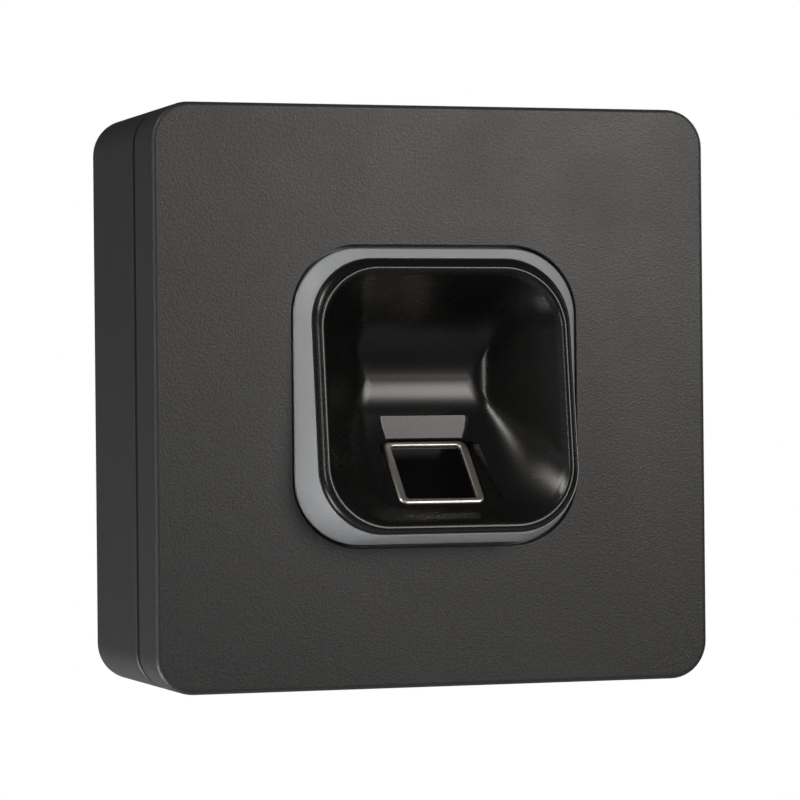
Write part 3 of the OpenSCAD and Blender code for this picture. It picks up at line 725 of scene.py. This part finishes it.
def cut_recess(guide):
    """Cuts the flared wedge above the sensor and the pocket that holds the bezel."""
    plane = -SENSOR_SINK + SENSOR_Z
    low_z = SENSOR_Z - BEZEL[1] / 2 * math.cos(math.radians(SENSOR_LEAN)) - RECESS_CLEAR
    facet_low = FACET_PROUD + RECESS_CLEAR
    profile = [(FACET_PROUD - RECESS_BACK, RECESS_TOP), (facet_low, plane - facet_low),
               (plane - low_z, low_z), RECESS_MOUTH, (RECESS_BROW, RECESS_TOP)]
    ends = (-RECESS_HALF, RECESS_HALF)
    wedge_mesh = bmesh.new()
    loft(wedge_mesh, [[Vector((x, -(FACE_DEPTH + p), z)) for p, z in profile] for x in ends])
    wedge = to_object(wedge_mesh, "wedge")
    tilt = math.radians(FACET_TILT)
    rings = []
    for z, extra in FACET_SECTIONS:
        half = BEZEL[0] / 2 + FACET_BESIDE + extra
        section = [(half + RECESS_REACH * math.tan(tilt), RECESS_REACH)]
        for i in range(9):
            a = tilt + i / 8 * (math.pi / 2 - tilt)
            section.append((half - FACET_ROUND * (1 - math.cos(a)), FACET_ROUND * (1 - math.sin(a))))
        across = section + [(-x, p) for x, p in reversed(section)]
        rings.append([Vector((x, -(FACE_DEPTH + FACET_PROUD + p), z)) for x, p in across])
    sides = bmesh.new()
    loft(sides, rings)
    combine(wedge, to_object(sides, "sides"), "INTERSECT")
    combine(guide, wedge, "DIFFERENCE")
    pocket = bmesh.new()
    shape = outline(BEZEL[0] + POCKET_CLEAR, BEZEL[1] + POCKET_CLEAR, POCKET_R, 10)
    loft(pocket, [on_sensor(shape, z) for z in POCKET])
    return combine(guide, to_object(pocket, "pocket"), "DIFFERENCE")


guide_piece = cut_recess(finger_guide_piece())
finish_piece(guide_piece, "reader_module", BOWL_GLOSS, "finger_guide", angle=40)


# ------------------------------------------------------------------ sensor

def bezel_piece():
    """Metal frame, rounded outside and inside the window."""
    w, h = BEZEL
    top, edge, inner = 0.15, 0.42, 0.22
    rings = [on_sensor(outline(w, h, BEZEL_R), SENSOR_BACK)]
    for i in range(5):
        a = i / 4 * math.pi / 2
        inset = edge * (1 - math.cos(a))
        shape = outline(w - 2 * inset, h - 2 * inset, BEZEL_R - inset)
        rings.append(on_sensor(shape, top - edge * (1 - math.sin(a))))
    for i in range(4):
        a = i / 3 * math.pi / 2
        grow = inner * (1 - math.sin(a))
        shape = outline(WINDOW + 2 * grow, WINDOW + 2 * grow, WINDOW_R + grow)
        rings.append(on_sensor(shape, top - inner * (1 - math.cos(a))))
    rings.append(on_sensor(outline(WINDOW, WINDOW, WINDOW_R), SENSOR_BACK))
    bm = bmesh.new()
    loft(bm, rings, closed=True)
    return to_object(bm, "sensor_bezel_frame")


def window_piece():
    """Glossy pane that stands just below the bezel."""
    w, r = WINDOW - 0.1, 0.45
    edge, shoulder = 0.08, -0.38
    rings = [on_sensor(outline(w, w, r, 8), depth) for depth in (SENSOR_BACK, shoulder)]
    for i in range(1, 4):
        a = i / 3 * math.pi / 2
        inset = edge * (1 - math.cos(a))
        shape = outline(w - 2 * inset, w - 2 * inset, r - inset, 8)
        rings.append(on_sensor(shape, shoulder + edge * math.sin(a)))
    bm = bmesh.new()
    loft(bm, rings)
    return to_object(bm, "sensor_window_glass")


finish_piece(bezel_piece(), "reader_module", STEEL, "sensor_bezel")
finish_piece(window_piece(), "reader_module", GLASS, "sensor_window")


# ------------------------------------------------------------------ carried-over CAD nodes

CAD_MATERIALS = {
    "wall_gasket": RUBBER, "cable_grommet": RUBBER, "cable_clamp": FRAME_PLASTIC,
    "clamp_screws": SCREW, "mounting_frame": FRAME_PLASTIC, "frame_screws": SCREW,
    "cover_clips": SPRING, "connection_board": BOARD, "connection_board_screws": SCREW,
    "terminal_block": TERMINAL, "terminal_contacts": BRASS, "terminal_button_1": ORANGE,
    "terminal_button_2": ORANGE, "terminal_button_3": ORANGE, "terminal_button_4": ORANGE,
    "module_socket": CONNECTOR, "service_switch": SPRING, "service_button": CONNECTOR,
    "module_housing": HOUSING, "module_screws": SCREW, "main_board": BOARD,
    "main_board_screws": SCREW, "pin_header": CONNECTOR, "header_pins": BRASS,
    "microcontroller": CHIP, "memory_chip": CHIP, "capacitors": CAN, "buzzer": CONNECTOR,
    "flex_connector": CREAM, "sensor_flex": AMBER, "sensor_board": BOARD,
    "sensor_gasket": RUBBER,
    "led_board": BOARD_WHITE, "leds": PHOSPHOR, "ring_screws": SCREW,
    "tamper_sensor": CHIP, "ring_seal": RUBBER, "tamper_magnet": NICKEL,
}
for name, mat in CAD_MATERIALS.items():
    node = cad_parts[name]
    node.data.materials.clear()
    node.data.materials.append(mat)


# ------------------------------------------------------------------ floor, light and background

AIM = Vector((0, -0.03, 0))


def softbox(name, azimuth, elevation, distance, width, height, radiance, spread=180, color=(1, 1, 1)):
    """Rectangular light that faces the reader; a narrow spread makes it brighter than radiance says."""
    back = direction(math.radians(azimuth), math.radians(elevation))
    data = bpy.data.lights.new(name, "AREA")
    data.shape = "RECTANGLE"
    data.size = width
    data.size_y = height
    data.energy = radiance * math.pi * width * height
    data.spread = math.radians(spread)
    data.color = color
    light = bpy.data.objects.new(name, data)
    bpy.context.scene.collection.objects.link(light)
    light.rotation_mode = "QUATERNION"
    light.location = AIM + back * distance
    light.rotation_quaternion = (-back).to_track_quat("-Z", "Y")
    light.visible_camera = False


WARM = (1.0, 0.965, 0.925)
softbox("key", 25, 18, 0.33, 0.13, 0.15, 1.08, spread=60, color=WARM)
softbox("left_strip", -57, 4, 0.9, 0.12, 0.3, 1.1, spread=60, color=WARM)
softbox("left_high", -60, 39, 0.9, 0.22, 0.22, 1.5, spread=60, color=WARM)
softbox("left", -86, 12, 0.9, 0.12, 0.3, 0.8)
softbox("left_low", -98, -38, 0.27, 0.16, 0.12, 8.5)
softbox("right", 108, 18, 1.0, 0.5, 0.5, 1.4)
softbox("back", 148, 22, 1.0, 0.5, 0.6, 2.6)


def make_world(surround, background):
    """Dim surround that lights the reader, and a plain white background behind it."""
    world = bpy.data.worlds.new("studio")
    world.use_nodes = True
    tree = world.node_tree
    tree.nodes.clear()
    path = tree.nodes.new("ShaderNodeLightPath")
    dim = tree.nodes.new("ShaderNodeBackground")
    dim.inputs["Color"].default_value = (*surround, 1)
    plain = tree.nodes.new("ShaderNodeBackground")
    plain.inputs["Color"].default_value = (*background, 1)
    mix = tree.nodes.new("ShaderNodeMixShader")
    out = tree.nodes.new("ShaderNodeOutputWorld")
    tree.links.new(path.outputs["Is Camera Ray"], mix.inputs["Fac"])
    tree.links.new(dim.outputs["Background"], mix.inputs[1])
    tree.links.new(plain.outputs["Background"], mix.inputs[2])
    tree.links.new(mix.outputs["Shader"], out.inputs["Surface"])
    bpy.context.scene.world = world


make_world((0.035, 0.036, 0.04), (1, 1, 1))


def make_floor():
    """Pale paper disc that also gives off an even glow, to camera rays only."""
    bm = bmesh.new()
    bmesh.ops.create_circle(bm, cap_ends=True, radius=1.3, segments=96)
    floor = to_object(bm, "floor")
    floor.location = (0, -0.02, -0.2)
    mat, tree, bsdf = shader("floor_paper", (0.86, 0.86, 0.85), 0.8)
    path = tree.nodes.new("ShaderNodeLightPath")
    share = tree.nodes.new("ShaderNodeMath")
    share.operation = "MULTIPLY"
    share.inputs[1].default_value = 0.85
    glow = tree.nodes.new("ShaderNodeEmission")
    glow.inputs["Color"].default_value = (0.84, 0.84, 0.83, 1)
    mix = tree.nodes.new("ShaderNodeMixShader")
    out = next(n for n in tree.nodes if n.type == "OUTPUT_MATERIAL")
    tree.links.new(path.outputs["Is Camera Ray"], share.inputs[0])
    tree.links.new(share.outputs["Value"], mix.inputs["Fac"])
    tree.links.new(bsdf.outputs["BSDF"], mix.inputs[1])
    tree.links.new(glow.outputs["Emission"], mix.inputs[2])
    tree.links.new(mix.outputs["Shader"], out.inputs["Surface"])
    floor.data.materials.append(mat)


make_floor()
bpy.context.scene.view_settings.view_transform = "Standard"
